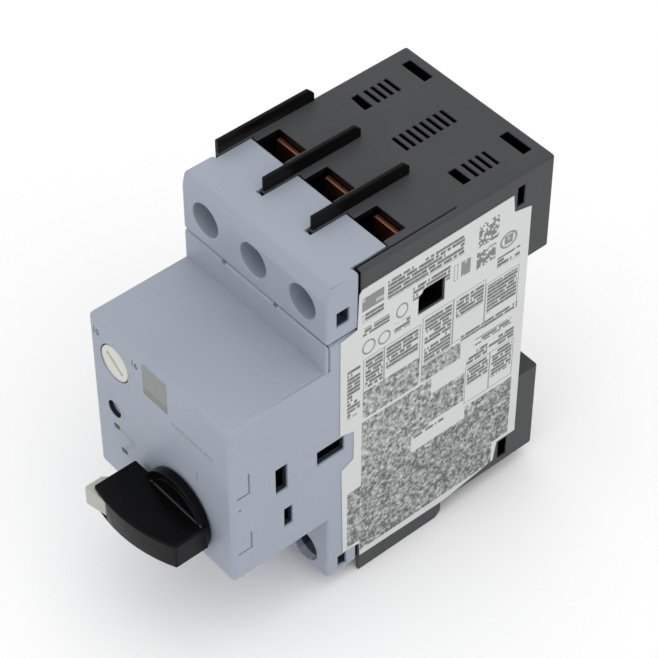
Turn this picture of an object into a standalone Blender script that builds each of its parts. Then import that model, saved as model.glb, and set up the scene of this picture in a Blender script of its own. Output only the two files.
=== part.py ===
"""Three-pole motor protection breaker for a 35 mm mounting rail.

Every helper takes body coordinates in millimetres: x to the right, depth
behind the front face of the nose, and height above the middle of the nose.
world() turns them into metres in the part's own frame, whose origin is the
middle of the face that sits against the rail.
"""
import math

import bmesh
import bpy
from mathutils import Euler, Vector

MM = 0.001

# Frame
RAIL_SEAT_DEPTH = 80.1
RAIL_CENTRE_HEIGHT = 2.3

# Outer shape
HALF_WIDTH = 22.5
NOSE_HALF = 22.5
NOSE_DEPTH = 25.0
TOP = 45.5
BOTTOM = -41.4
SPLIT_DEPTH = 33.4
BACK_DEPTH = 85.6
RECESS_TOP = 20.5
RECESS_BOTTOM = -15.9
RECESS_FLOOR = 79.7
WALL = 1.8
GAP = 0.3
SEAM = 30.1
REAR_POCKET_DEPTH = BACK_DEPTH - WALL
CAVITY_DEPTH = RECESS_FLOOR - WALL

# Poles, barriers and terminals
POLE_PITCH = 15.0
POLES = (-POLE_PITCH, 0.0, POLE_PITCH)
POLE_NAMES = ("1", "2", "3")
BARRIER_PITCH = 14.7
BARRIER_THICK = 0.9
BARRIER_TOP = 49.1
BARRIER_BOTTOM = -45.5
BARRIER_FRONT = 34.0
BARRIER_BACK = 59.4
UPPER_SCREW_HEIGHT = 37.5
LOWER_SCREW_HEIGHT = -36.5
SCREW_HOLE_RADIUS = 4.0
WIRE_WIDTH = 8.6
WIRE_OFFSET = -0.6
WIRE_FRONT = 42.6
WIRE_BACK = 48.5
TONGUE_BACK = WIRE_FRONT - GAP
TONGUE_THICK = 1.3
BAR_FRONT = 47.4
BAR_THICK = 1.2
FIXED_CONTACT = 66.6
MOVING_CONTACT = 61.4
PAD_UPPER = 23.4
PAD_LOWER = 3.6
PAD_RADIUS = 1.8

# Front controls
KNOB_X = 6.2
KNOB_HEIGHT = -12.45
SKIRT_RADIUS = 9.7
HANDLE_LEFT = -7.8
HANDLE_RIGHT = 16.2
HANDLE_HALF = 3.35
HANDLE_FRONT = -13.0
DIAL_X = -14.7
DIAL_HEIGHT = 13.2
DIAL_RADIUS = 4.3
TEST_X = -15.8
TEST_HEIGHT = -1.2
TEST_RADIUS = 2.5

# Rail clip
CLIP_HALF = 5.5
CLIP_FRONT = 81.5
CLIP_BACK = 84.9
CLIP_TOP = -13.7
CLIP_BOTTOM = -44.8
HOOK_FRONT = 81.5
LUG_TOP = -35.1

# Finishes: base colour, roughness, metallic
GREY_PLASTIC = ((0.36, 0.40, 0.45, 1.0), 0.45, 0.0)
BLACK_PLASTIC = ((0.06, 0.06, 0.065, 1.0), 0.5, 0.0)
KNOB_BLACK = ((0.015, 0.015, 0.018, 1.0), 0.35, 0.0)
IVORY = ((0.62, 0.62, 0.56, 1.0), 0.45, 0.0)
LABEL_WHITE = ((0.66, 0.68, 0.65, 1.0), 0.55, 0.0)
COPPER = ((0.62, 0.30, 0.15, 1.0), 0.35, 1.0)
STEEL = ((0.55, 0.55, 0.56, 1.0), 0.35, 1.0)
SPRING_STEEL = ((0.40, 0.40, 0.42, 1.0), 0.3, 1.0)
SILVER = ((0.75, 0.75, 0.76, 1.0), 0.25, 1.0)
RED_PLASTIC = ((0.35, 0.05, 0.04, 1.0), 0.5, 0.0)

PARTS = bpy.data.collections.new("motor_protection_breaker")
CUTTERS = bpy.data.collections.new("cutters")


def world(x, depth, height):
    """Turn body coordinates in millimetres into a place in metres."""
    return Vector((x, depth - RAIL_SEAT_DEPTH, height - RAIL_CENTRE_HEIGHT)) * MM


def clear_scene():
    """Remove what the file holds and link the two collections."""
    for item in list(bpy.data.objects):
        bpy.data.objects.remove(item, do_unlink=True)
    for group in (PARTS, CUTTERS):
        bpy.context.scene.collection.children.link(group)


def move_to(solid, group):
    """Leave an object in one collection only."""
    for other in list(solid.users_collection):
        other.objects.unlink(solid)
    group.objects.link(solid)


def as_cutter(solid):
    """Hide a solid that only shapes other solids."""
    solid.hide_render = True
    solid.display_type = "WIRE"
    move_to(solid, CUTTERS)
    return solid


def box(name, x_span, depth_span, height_span):
    """Add a box between limits."""
    low = world(x_span[0], depth_span[0], height_span[0])
    high = world(x_span[1], depth_span[1], height_span[1])
    bpy.ops.mesh.primitive_cube_add(size=1.0, location=(low + high) / 2)
    solid = bpy.context.object
    solid.name = name
    solid.scale = high - low
    bpy.ops.object.transform_apply(location=False, rotation=False, scale=True)
    return solid


def rod(name, centre, radius, length, axis="Y", sides=24):
    """Add a cylinder along an axis, centred on a place."""
    turn = {"X": (0, math.pi / 2, 0), "Y": (math.pi / 2, 0, 0), "Z": (0, 0, 0)}[axis]
    bpy.ops.mesh.primitive_cylinder_add(vertices=sides, radius=radius * MM, depth=length * MM,
                                        location=world(*centre), rotation=turn)
    solid = bpy.context.object
    solid.name = name
    bpy.ops.object.transform_apply(location=False, rotation=True, scale=False)
    return solid


def outline(name, loops, centre, thickness, plane):
    """Add a flat plate from closed outlines, the later ones being holes.

    plane is XY, XZ or YZ, and the points are offsets from centre in millimetres.
    """
    turn = {"XY": (0, 0, 0), "XZ": (math.pi / 2, 0, 0), "YZ": (math.pi / 2, 0, math.pi / 2)}[plane]
    curve = bpy.data.curves.new(name, "CURVE")
    curve.dimensions = "2D"
    curve.fill_mode = "BOTH"
    curve.extrude = thickness * MM / 2
    for points in loops:
        spline = curve.splines.new("POLY")
        spline.points.add(len(points) - 1)
        for knot, (u, v) in zip(spline.points, points):
            knot.co = (u * MM, v * MM, 0, 1)
        spline.use_cyclic_u = True
    drawn = bpy.data.objects.new(f"{name}_outline", curve)
    bpy.context.scene.collection.objects.link(drawn)
    solid = bpy.data.objects.new(name, bpy.data.meshes.new_from_object(drawn))
    bpy.data.objects.remove(drawn)
    merged = bmesh.new()
    merged.from_mesh(solid.data)
    bmesh.ops.remove_doubles(merged, verts=merged.verts, dist=MM / 1000)
    bmesh.ops.dissolve_limit(merged, angle_limit=0.001, verts=merged.verts, edges=merged.edges)
    bmesh.ops.rotate(merged, verts=merged.verts, matrix=Euler(turn).to_matrix())
    bmesh.ops.recalc_face_normals(merged, faces=merged.faces)
    merged.to_mesh(solid.data)
    merged.free()
    solid.location = world(*centre)
    bpy.context.scene.collection.objects.link(solid)
    return solid


def coil(name, centre, radius, wire, length, turns, axis="Z", steps=10):
    """Add a coil of round wire along an axis, centred on a place."""
    curve = bpy.data.curves.new(name, "CURVE")
    curve.dimensions = "3D"
    curve.bevel_depth = wire * MM / 2
    curve.bevel_resolution = 1
    curve.use_fill_caps = True
    count = int(turns * steps)
    spline = curve.splines.new("POLY")
    spline.points.add(count)
    for index, knot in enumerate(spline.points):
        angle = 2 * math.pi * index / steps
        along = (index / count - 0.5) * (length - wire)
        around = (radius * math.cos(angle), radius * math.sin(angle))
        place = (around[0], along, around[1]) if axis == "Y" else (around[0], around[1], along)
        knot.co = (*(value * MM for value in place), 1)
    solid = bpy.data.objects.new(name, curve)
    solid.location = world(*centre)
    bpy.context.scene.collection.objects.link(solid)
    return solid


def shape(solid, tool, operation="DIFFERENCE"):
    """Cut with, or add, another solid."""
    step = solid.modifiers.new(tool.name, "BOOLEAN")
    step.operation = operation
    step.solver = "EXACT"
    step.object = as_cutter(tool)
    return step


def cut(solid, *tools):
    """Cut one solid with others."""
    for tool in tools:
        shape(solid, tool)


def join(solid, *tools):
    """Add other solids to one."""
    for tool in tools:
        shape(solid, tool, "UNION")


def soften(solid, width, segments=2, angle=40.0):
    """Round the sharp edges."""
    step = solid.modifiers.new("soften", "BEVEL")
    step.width = width * MM
    step.segments = segments
    step.limit_method = "ANGLE"
    step.angle_limit = math.radians(angle)
    step.miter_outer = "MITER_SHARP"
    step.use_clamp_overlap = True


def repeat(solid, count, offset):
    """Repeat a solid at a constant offset in millimetres."""
    step = solid.modifiers.new("repeat", "ARRAY")
    step.count = count
    step.use_relative_offset = False
    step.use_constant_offset = True
    step.constant_offset_displace = Vector(offset) * MM


def pivot(solid, place):
    """Put a mesh object's origin on its joint's axis."""
    target = world(*place)
    shift = solid.location - target
    for vertex in solid.data.vertices:
        vertex.co += shift
    solid.location = target


def finish(solid, look):
    """Give a part its material and put it in the object's collection."""
    colour, roughness, metallic = look
    material = bpy.data.materials.new(solid.name)
    material.use_nodes = True
    shader = material.node_tree.nodes["Principled BSDF"]
    shader.inputs["Base Color"].default_value = colour
    shader.inputs["Roughness"].default_value = roughness
    shader.inputs["Metallic"].default_value = metallic
    solid.data.materials.append(material)
    move_to(solid, PARTS)
    return solid


def pole_space(index):
    """The clear width between the barriers beside a pole."""
    left = (index - 1.5) * BARRIER_PITCH + BARRIER_THICK / 2
    right = min((index - 0.5) * BARRIER_PITCH - BARRIER_THICK / 2, HALF_WIDTH - WALL)
    return left, right


def arc_points(start, middle, end, count):
    """Points on the circle through three places, from start to end."""
    (ax, ay), (bx, by), (cx, cy) = start, middle, end
    det = 2 * (ax * (by - cy) + bx * (cy - ay) + cx * (ay - by))
    a2, b2, c2 = ax * ax + ay * ay, bx * bx + by * by, cx * cx + cy * cy
    ux = (a2 * (by - cy) + b2 * (cy - ay) + c2 * (ay - by)) / det
    uy = (a2 * (cx - bx) + b2 * (ax - cx) + c2 * (bx - ax)) / det
    radius = math.hypot(ax - ux, ay - uy)
    first = math.atan2(ay - uy, ax - ux)
    last = math.atan2(cy - uy, cx - ux)
    return [(ux + radius * math.cos(first + (last - first) * i / count),
             uy + radius * math.sin(first + (last - first) * i / count)) for i in range(count + 1)]


# ------------------------------------------------------------------ housings

def base_openings():
    """Cutters for the vents, wire entries and windows of the rear base."""
    tools = []
    for side, top_face in ((1, TOP), (-1, BOTTOM)):
        wall_span = sorted((top_face - side * 2.6, top_face + side))
        for index, pole in enumerate(POLES):
            left, right = pole_space(index)
            tag = f"{'upper' if side > 0 else 'lower'}_{index}"
            tools.append(box(f"tongue_slot_{tag}", (left + 0.2, right - 0.2),
                             (SPLIT_DEPTH - 2, WIRE_FRONT), wall_span))
            middle = pole + WIRE_OFFSET
            tools.append(box(f"wire_entry_{tag}", (middle - WIRE_WIDTH / 2, middle + WIRE_WIDTH / 2),
                             (WIRE_FRONT - 0.5, WIRE_BACK), wall_span))
    for middle, start, count in ((-15.1, 69.0, 4), (-0.3, 63.7, 8), (14.55, 69.0, 4)):
        slit = box(f"vent_{count}_{start}_{middle}", (middle - 2.4, middle + 2.4),
                   (start, start + 0.9), (TOP - WALL - 1, TOP + 1))
        repeat(slit, count, (0, 1.85, 0))
        tools.append(slit)
    for middle in (-15.1, 14.55):
        tools.append(box(f"wide_vent_{middle}", (middle - 2.4, middle + 2.4), (65.5, 67.6),
                         (TOP - WALL - 1, TOP + 1)))
        tools.append(box(f"rear_slot_{middle}", (middle - 3.6, middle + 3.6), (80.8, 83.2),
                         (TOP - WALL - 1, TOP + 1)))
    side_wall = (HALF_WIDTH - WALL - 1, HALF_WIDTH + 1)
    tools.append(box("side_window", side_wall, (49.2, 55.8), (24.0, 30.0)))
    tools.append(box("upper_side_slot", side_wall, (75.6, 77.6), (37.0, 42.2)))
    tools.append(box("lower_side_slot", side_wall, (75.0, 77.5), (-39.3, -33.8)))
    tools.append(box("edge_groove", (20.6, 21.1), (SPLIT_DEPTH - 1, 60.0), (TOP - 0.5, TOP + 1)))
    return tools


def pole_partition(side):
    """A wall between two poles, open in front of the switching mechanism."""
    middle = side * BARRIER_PITCH / 2
    span = (middle - BARRIER_THICK / 2, middle + BARRIER_THICK / 2)
    wall = box(f"partition_{side}", span, (BARRIER_FRONT, CAVITY_DEPTH + 0.5),
               (BOTTOM + WALL / 2, TOP - WALL / 2))
    cut(wall, box(f"partition_notch_{side}", (span[0] - 1, span[1] + 1), (BARRIER_FRONT - 1, 58.5),
                  (-26.0, 26.0)))
    return wall


def phase_barrier(index, upper):
    """A fin that keeps the bare ends of neighbouring wires apart."""
    middle = (index - 1.5) * BARRIER_PITCH
    span = (middle - BARRIER_THICK / 2, middle + BARRIER_THICK / 2)
    if upper:
        fin = box(f"fin_upper_{index}", span, (BARRIER_FRONT, BARRIER_BACK), (TOP - 1.0, BARRIER_TOP))
        corner = rod(f"fin_corner_{index}", (middle, BARRIER_BACK, BARRIER_TOP), 1.4, 3, "X", 4)
    else:
        fin = box(f"fin_lower_{index}", span, (BARRIER_FRONT, BARRIER_BACK - 1.5),
                  (BARRIER_BOTTOM, BOTTOM + 1.0))
        corner = rod(f"fin_corner_low_{index}", (middle, BARRIER_BACK - 1.5, BARRIER_BOTTOM), 1.4, 3, "X", 4)
    cut(fin, corner)
    return fin


def rear_base():
    """The black rear housing, with the rail recess behind."""
    solid = box("rear_base", (-HALF_WIDTH, HALF_WIDTH), (SPLIT_DEPTH + GAP, BACK_DEPTH), (BOTTOM, TOP))
    soften(solid, 0.6)
    inner = HALF_WIDTH - WALL
    cut(solid,
        box("base_cavity", (-inner, inner), (SPLIT_DEPTH - 1, CAVITY_DEPTH), (BOTTOM + WALL, TOP - WALL)),
        box("upper_pocket", (-inner, inner), (CAVITY_DEPTH - 1, REAR_POCKET_DEPTH),
            (RECESS_TOP + WALL, TOP - WALL)),
        box("rail_recess", (-HALF_WIDTH - 5, HALF_WIDTH + 5), (RECESS_FLOOR, BACK_DEPTH + 5),
            (RECESS_BOTTOM, RECESS_TOP)),
        box("clip_channel", (-CLIP_HALF - GAP, CLIP_HALF + GAP), (CLIP_FRONT - GAP, BACK_DEPTH + 1),
            (BOTTOM - 1, RECESS_BOTTOM + 1)))
    for side in (-1, 1):
        pocket_span = sorted((side * (CLIP_HALF + GAP + WALL), side * inner))
        cut(solid, box(f"lower_pocket_{side}", pocket_span, (CAVITY_DEPTH - 1, REAR_POCKET_DEPTH),
                       (BOTTOM + WALL, RECESS_BOTTOM - WALL)))
    join(solid, pole_partition(-1), pole_partition(1))
    cut(solid, *base_openings())
    for index in range(3):
        join(solid, phase_barrier(index, True), phase_barrier(index + 1, False))
    join(solid,
         box("seat_pad", (-21.0, 21.0), (RECESS_FLOOR - 0.5, RAIL_SEAT_DEPTH), (-13.2, 17.8)),
         box("fixed_hook", (-16.0, 16.0), (HOOK_FRONT, 84.0), (18.7, RECESS_TOP + 0.5)),
         box("spring_lug", (-1.6, 1.6), (CLIP_FRONT - 1, 83.4), (LUG_TOP - 1.5, LUG_TOP)))
    return finish(solid, BLACK_PLASTIC)


def screw_guides(solid, cavity, height):
    """Leave a tube round each screwdriver hole of a row, and cut the holes."""
    for pole in POLES:
        cut(cavity, rod(f"guide_{height}_{pole}", (pole, 30.0, height), SCREW_HOLE_RADIUS + 0.7, 14.0))
    cut(solid, cavity)
    for pole in POLES:
        cut(solid, rod(f"guide_hole_{height}_{pole}", (pole, 29.0, height), SCREW_HOLE_RADIUS, 12.0, "Y", 32))


def tongues(solid, side, face):
    """Add the three lips that run back between the barriers."""
    for index in range(3):
        left, right = pole_space(index)
        join(solid, box(f"tongue_{side}_{index}", (left + 0.5, right - 0.5), (SPLIT_DEPTH - 1, TONGUE_BACK),
                        sorted((face - side * TONGUE_THICK, face))))


def terminal_cover():
    """The blue-grey cover over the line terminals."""
    solid = box("terminal_cover", (-HALF_WIDTH, HALF_WIDTH), (NOSE_DEPTH, SPLIT_DEPTH), (SEAM + GAP, TOP))
    soften(solid, 0.8, 3)
    slope = [(NOSE_DEPTH - 1.0, TOP - 5.66), (NOSE_DEPTH + 1.8, TOP + 0.94), (NOSE_DEPTH - 1.0, TOP + 0.94)]
    cut(solid, outline("top_chamfer", [slope], (0, 0, 0), 60.0, "YZ"))
    inner = HALF_WIDTH - WALL
    cavity = box("cover_cavity", (-inner, inner), (NOSE_DEPTH + WALL, SPLIT_DEPTH + 1),
                 (SEAM + GAP + WALL, TOP - WALL))
    screw_guides(solid, cavity, UPPER_SCREW_HEIGHT)
    tongues(solid, 1, TOP)
    cut(solid, box("upper_latch_window", (inner - 1, HALF_WIDTH + 1), (27.6, 30.8), (34.0, 38.0)))
    return finish(solid, GREY_PLASTIC)


def engraved_marks():
    """Shallow grooves on the right side of the nose."""
    face = (HALF_WIDTH - 0.35, HALF_WIDTH + 1)
    return [box("mark_1_stem", face, (4.4, 4.9), (2.3, 8.3)),
            box("mark_1_foot", face, (1.5, 4.6), (2.3, 2.8)),
            box("mark_dot", face, (1.9, 2.4), (-1.4, -0.9)),
            box("mark_2_stem", face, (4.6, 5.1), (-14.7, -9.6)),
            box("mark_2_foot", face, (1.4, 4.8), (-14.7, -14.2)),
            box("seam_end", (HALF_WIDTH - 0.8, HALF_WIDTH + 1), (25.5, 25.9), (23.0, SEAM + 1))]


def front_cover():
    """The blue-grey cover: the nose with the controls, and the load terminals below it."""
    solid = box("front_cover", (-HALF_WIDTH, HALF_WIDTH), (0, NOSE_DEPTH + 3), (-NOSE_HALF, NOSE_HALF))
    soften(solid, 1.0, 3)
    skirt = box("cover_skirt", (-HALF_WIDTH, HALF_WIDTH), (NOSE_DEPTH, SPLIT_DEPTH), (BOTTOM, SEAM))
    soften(skirt, 0.8, 3)
    join(solid, skirt)
    inner = HALF_WIDTH - WALL
    cut(solid, box("nose_cavity", (-inner, inner), (WALL, NOSE_DEPTH + 3), (-inner, inner)))
    cavity = box("skirt_cavity", (-inner, inner), (NOSE_DEPTH + WALL, SPLIT_DEPTH + 1),
                 (BOTTOM + WALL, SEAM - WALL))
    screw_guides(solid, cavity, LOWER_SCREW_HEIGHT)
    tongues(solid, -1, BOTTOM)
    join(solid, box("control_shelf", (-inner - 0.5, -9.0), (11.0, 12.2), (-5.5, 18.5)))
    cut(solid,
        rod("dial_stem_hole", (DIAL_X, 11.6, DIAL_HEIGHT), 2.3, 4, "Y", 16),
        rod("test_stem_hole", (TEST_X, 11.6, TEST_HEIGHT), 2.8, 4, "Y", 16))
    for notch_x in (-9.7, 6.5):
        cut(solid, box(f"seam_notch_{notch_x}", (notch_x - 0.6, notch_x + 0.6), (NOSE_DEPTH - 1, SPLIT_DEPTH + 1),
                       (SEAM - 0.7, SEAM + 1)))
    cut(solid,
        rod("dial_hole", (DIAL_X, 1, DIAL_HEIGHT), DIAL_RADIUS + GAP, 6, "Y", 32),
        rod("test_hole", (TEST_X, 1, TEST_HEIGHT), TEST_RADIUS + GAP, 6, "Y", 24),
        rod("shaft_hole", (KNOB_X, 1, KNOB_HEIGHT), 3.4, 6, "Y", 24))
    side_wall = (inner - 1, HALF_WIDTH + 1)
    cut(solid,
        box("nose_window_1", side_wall, (11.6, 14.6), (-3.5, 4.0)),
        box("nose_window_2", side_wall, (13.65, 15.8), (-15.25, -9.6)),
        box("side_slot", side_wall, (22.5, 29.7), (-2.9, 1.3)),
        box("lower_latch_window", side_wall, (28.0, 30.4), (-40.0, -36.5)),
        *engraved_marks())
    return finish(solid, GREY_PLASTIC)


def rating_label():
    """The printed label on the right side, cut out round the slots."""
    edge = [(32.8, 30.3), (28.4, 29.5), (28.4, 2.3), (32.1, 1.1), (32.1, -7.3), (28.8, -9.1),
            (29.3, -35.6), (33.9, -36.2), (34.1, -40.4), (58.7, -40.9), (73.3, -38.4), (74.2, -32.9),
            (79.6, -32.9), (79.6, 35.2), (74.8, 36.3), (74.3, 41.1), (34.0, 40.6), (33.2, 39.6)]
    window = [(48.9, 23.7), (56.1, 23.7), (56.1, 30.3), (50.6, 30.3), (48.9, 28.6)]
    thickness = 0.15
    label = outline("rating_label", [edge, window], (HALF_WIDTH + 0.04 + thickness / 2, 0, 0), thickness, "YZ")
    return finish(label, LABEL_WHITE)


# ------------------------------------------------------------------ controls

def knob():
    """The rotary handle: a round skirt and a pointer bar."""
    solid = rod("knob", (KNOB_X, -1.35, KNOB_HEIGHT), SKIRT_RADIUS, 2.1, "Y", 48)
    front = arc_points((HANDLE_RIGHT, -9.6), (3.6, HANDLE_FRONT), (HANDLE_LEFT, -12.1), 10)
    plan = [(HANDLE_LEFT, -1.3), (HANDLE_RIGHT, -1.3)] + front
    bar = outline("knob_bar", [plan], (0, 0, KNOB_HEIGHT), 2 * HANDLE_HALF, "XY")
    soften(bar, 0.4)
    join(solid, bar)
    cut(solid,
        rod("knob_bore", (KNOB_X, -2.6, KNOB_HEIGHT), 3.3, 6.8, "Y", 24),
        box("tab_pocket", (HANDLE_LEFT - 3, -2.9), (-16.0, -7.2), (KNOB_HEIGHT - 2.6, KNOB_HEIGHT + 2.6)),
        box("tab_slot", (-3.5, 2.4), (-10.8, -7.2), (KNOB_HEIGHT - 1.5, KNOB_HEIGHT + 1.5)))
    pivot(solid, (KNOB_X, 0, KNOB_HEIGHT))
    return finish(solid, KNOB_BLACK)


def lock_tab():
    """The padlock slide that draws out of the pointer end of the knob."""
    plan = [(-9.6, -13.0), (-9.6, -9.0), (-8.4, -7.5), (-3.2, -7.5), (-3.2, -12.6), (-8.8, -13.7)]
    solid = outline("lock_tab", [plan], (0, 0, KNOB_HEIGHT), 4.6, "XY")
    soften(solid, 0.3)
    join(solid, box("tab_stem", (-3.6, 2.1), (-10.5, -7.5), (KNOB_HEIGHT - 1.2, KNOB_HEIGHT + 1.2)))
    cut(solid, rod("padlock_hole", (-5.6, -10.2, KNOB_HEIGHT), 1.5, 8, "Z", 16))
    return finish(solid, IVORY)


def knob_shaft():
    """The shaft from the knob to the switching mechanism, with its cam."""
    solid = rod("knob_shaft", (KNOB_X, 17.4, KNOB_HEIGHT), 2.9, 46.2, "Y", 20)
    cam = rod("shaft_cam", (KNOB_X + 2.4, 38.3, KNOB_HEIGHT), 4.2, 3.6, "Y", 20)
    collar = rod("shaft_collar", (KNOB_X, 4.0, KNOB_HEIGHT), 4.6, 2.0, "Y", 20)
    join(solid, cam, collar)
    pivot(solid, (KNOB_X, 0, KNOB_HEIGHT))
    return finish(solid, STEEL)


def setting_dial():
    """The slotted dial that sets the motor's current."""
    solid = rod("setting_dial", (DIAL_X, 2.2, DIAL_HEIGHT), DIAL_RADIUS, 4.0, "Y", 32)
    soften(solid, 0.3, 1)
    join(solid, rod("dial_stem", (DIAL_X, 9.0, DIAL_HEIGHT), 2.0, 12.0, "Y", 16),
         rod("dial_rim", (DIAL_X, 3.7, DIAL_HEIGHT), DIAL_RADIUS + 1.0, 1.4, "Y", 32))
    cut(solid, box("dial_slot", (DIAL_X - 3.2, DIAL_X + 3.2), (-1.0, 1.6),
                   (DIAL_HEIGHT - 0.6, DIAL_HEIGHT + 0.6)))
    pivot(solid, (DIAL_X, 0, DIAL_HEIGHT))
    return finish(solid, IVORY)


def test_button():
    """The button behind the test hole."""
    solid = rod("test_button", (TEST_X, 5.6, TEST_HEIGHT), TEST_RADIUS, 9.0, "Y", 20)
    join(solid, rod("test_rim", (TEST_X, 5.6, TEST_HEIGHT), TEST_RADIUS + 1.1, 1.6, "Y", 20))
    pivot(solid, (TEST_X, 0, TEST_HEIGHT))
    return finish(solid, GREY_PLASTIC)


# ----------------------------------------------------------------- terminals

def terminal_bar(name, pole, height):
    """A copper terminal bar: the clamped plate and the tongue that runs inwards."""
    outer = 1 if height > 0 else -1
    outer_end = TOP - WALL - GAP if outer > 0 else BOTTOM + WALL + GAP
    plate_span = sorted((height - outer * 6.5, outer_end))
    solid = box(name, (pole - 4.4, pole + 4.4), (BAR_FRONT, BAR_FRONT + BAR_THICK), plate_span)
    inward = height - outer * 6.5
    leg_back = FIXED_CONTACT + BAR_THICK
    join(solid, box(f"{name}_tongue", (pole - 3.0, pole + 3.0), (BAR_FRONT, leg_back),
                    sorted((inward, inward + outer * BAR_THICK))))
    if outer > 0:
        join(solid, box(f"{name}_leg", (pole - 3.0, pole + 3.0), (FIXED_CONTACT, leg_back),
                        (21.0, inward + BAR_THICK)),
             rod(f"{name}_pad", (pole, FIXED_CONTACT - 0.2, PAD_UPPER), PAD_RADIUS, 1.0, "Y", 12))
    cut(solid, rod(f"{name}_thread", (pole, BAR_FRONT, height), 2.3, 6.0, "Y", 12))
    return finish(solid, COPPER)


def clamp_washer(name, pole, height):
    """The square washer that presses on the bare wire."""
    solid = box(name, (pole - 4.0, pole + 4.0), (41.9, 43.0), (height - 2.8, height + 2.8))
    cut(solid, rod(f"{name}_hole", (pole, 42.4, height), 2.3, 6.0, "Y", 12))
    pivot(solid, (pole, 0, height))
    return finish(solid, STEEL)


def terminal_screw(name, pole, height):
    """A combination-slot terminal screw."""
    solid = rod(name, (pole, 40.0, height), 3.3, 3.2, "Y", 16)
    join(solid, rod(f"{name}_thread", (pole, 45.5, height), 1.9, 9.0, "Y", 12))
    cut(solid, box(f"{name}_slot", (pole - 3.6, pole + 3.6), (38.0, 39.5), (height - 0.4, height + 0.4)),
        box(f"{name}_cross", (pole - 0.5, pole + 0.5), (38.0, 39.9), (height - 1.9, height + 1.9)))
    pivot(solid, (pole, 0, height))
    return finish(solid, STEEL)


# ----------------------------------------------------------------- mechanism

def mechanism_frame():
    """The folded steel frame behind the knob."""
    solid = box("mechanism_frame", (-10.0, 19.0), (48.6, 49.8), (-22.0, 20.0))
    join(solid, box("frame_left", (-10.0, -8.8), (35.0, 49.0), (-22.0, 20.0)),
         box("frame_right", (17.8, 19.0), (35.0, 49.0), (-22.0, 20.0)),
         box("frame_bridge", (-9.4, 18.4), (35.0, 36.2), (11.0, 20.0)))
    cut(solid, box("frame_gate", (-3.0, 12.0), (47.0, 51.0), (-4.0, 9.0)))
    return finish(solid, STEEL)


def toggle_lever():
    """The lever that snaps the contact carrier over."""
    solid = rod("toggle_lever", (4.5, 45.0, -14.0), 1.8, 16.0, "X", 16)
    join(solid, box("lever_arm", (1.5, 7.5), (43.8, 46.2), (-14.0, 6.0)),
         box("lever_nose", (2.5, 6.5), (44.5, 50.6), (3.6, 6.0)))
    pivot(solid, (4.5, 45.0, -14.0))
    return finish(solid, STEEL)


def trip_bar():
    """The insulated bar that the bimetals push to release the latch."""
    solid = rod("trip_bar", (0, 55.5, -23.5), 1.5, 38.0, "X", 16)
    for pole in POLES:
        join(solid, box(f"trip_finger_{pole}", (pole - 2.2, pole + 2.2), (54.8, 56.2), (-23.5, -16.5)))
    pivot(solid, (0, 55.5, -23.5))
    return finish(solid, RED_PLASTIC)


def contact_carrier():
    """The moulded bridge that carries the three moving contacts."""
    solid = box("contact_carrier", (-20.0, 20.0), (52.4, 55.4), (9.5, 17.5))
    soften(solid, 0.4, 1)
    for pole in POLES:
        join(solid, rod(f"carrier_post_{pole}", (pole, 58.1, 13.5), 1.2, 5.8, "Y", 12))
    pivot(solid, (0, 0, 13.5))
    return finish(solid, BLACK_PLASTIC)


def moving_contact(name, pole):
    """A bridge contact with a silver pad at each end."""
    solid = box(name, (pole - 2.4, pole + 2.4), (MOVING_CONTACT, MOVING_CONTACT + 1.0),
                (PAD_LOWER - 2.6, PAD_UPPER + 2.6))
    for height in (PAD_LOWER, PAD_UPPER):
        join(solid, rod(f"{name}_pad_{height}", (pole, MOVING_CONTACT + 0.8, height), PAD_RADIUS, 1.2, "Y", 12))
    return finish(solid, SILVER)


def contact_spring(name, pole):
    """The spring that gives a moving contact its pressure."""
    return finish(coil(name, (pole, 58.4, 13.5), 2.2, 0.5, 5.2, 3, "Y"), SPRING_STEEL)


def arc_chute(name, pole):
    """The stack of steel plates that splits the arc."""
    solid = box(name, (pole - 5.2, pole + 5.2), (75.6, 77.0), (7.0, 20.4))
    plate = box(f"{name}_plate", (pole - 5.2, pole + 5.2), (67.0, 76.0), (7.0, 7.7))
    repeat(plate, 7, (0, 0, 2.11))
    join(solid, plate)
    return finish(solid, STEEL)


def magnet_coil(name, pole):
    """The short-circuit trip coil of a pole."""
    return finish(coil(name, (pole, 70.0, -5.0), 4.0, 1.6, 12.5, 4), COPPER)


def magnet_core(name, pole):
    """The coil's iron core, with the fixed load contact on its pole piece."""
    solid = rod(name, (pole, 70.0, -5.5), 2.4, 17.0, "Z", 16)
    join(solid, box(f"{name}_top", (pole - 3.0, pole + 3.0), (FIXED_CONTACT, 72.0), (2.6, 3.8)),
         box(f"{name}_face", (pole - 3.0, pole + 3.0), (FIXED_CONTACT, FIXED_CONTACT + BAR_THICK), (1.6, 6.2)),
         rod(f"{name}_pad", (pole, FIXED_CONTACT - 0.2, PAD_LOWER), PAD_RADIUS, 1.0, "Y", 12))
    return finish(solid, STEEL)


def bimetal(name, pole):
    """The bimetal strip that bends when its pole carries too much."""
    solid = box(name, (pole - 2.6, pole + 2.6), (60.0, 60.9), (-28.8, -4.0))
    join(solid, box(f"{name}_foot", (pole - 2.6, pole + 2.6), (60.0, 64.0), (-28.8, -27.9)))
    return finish(solid, SILVER)


# ----------------------------------------------------------------- rail clip

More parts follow.
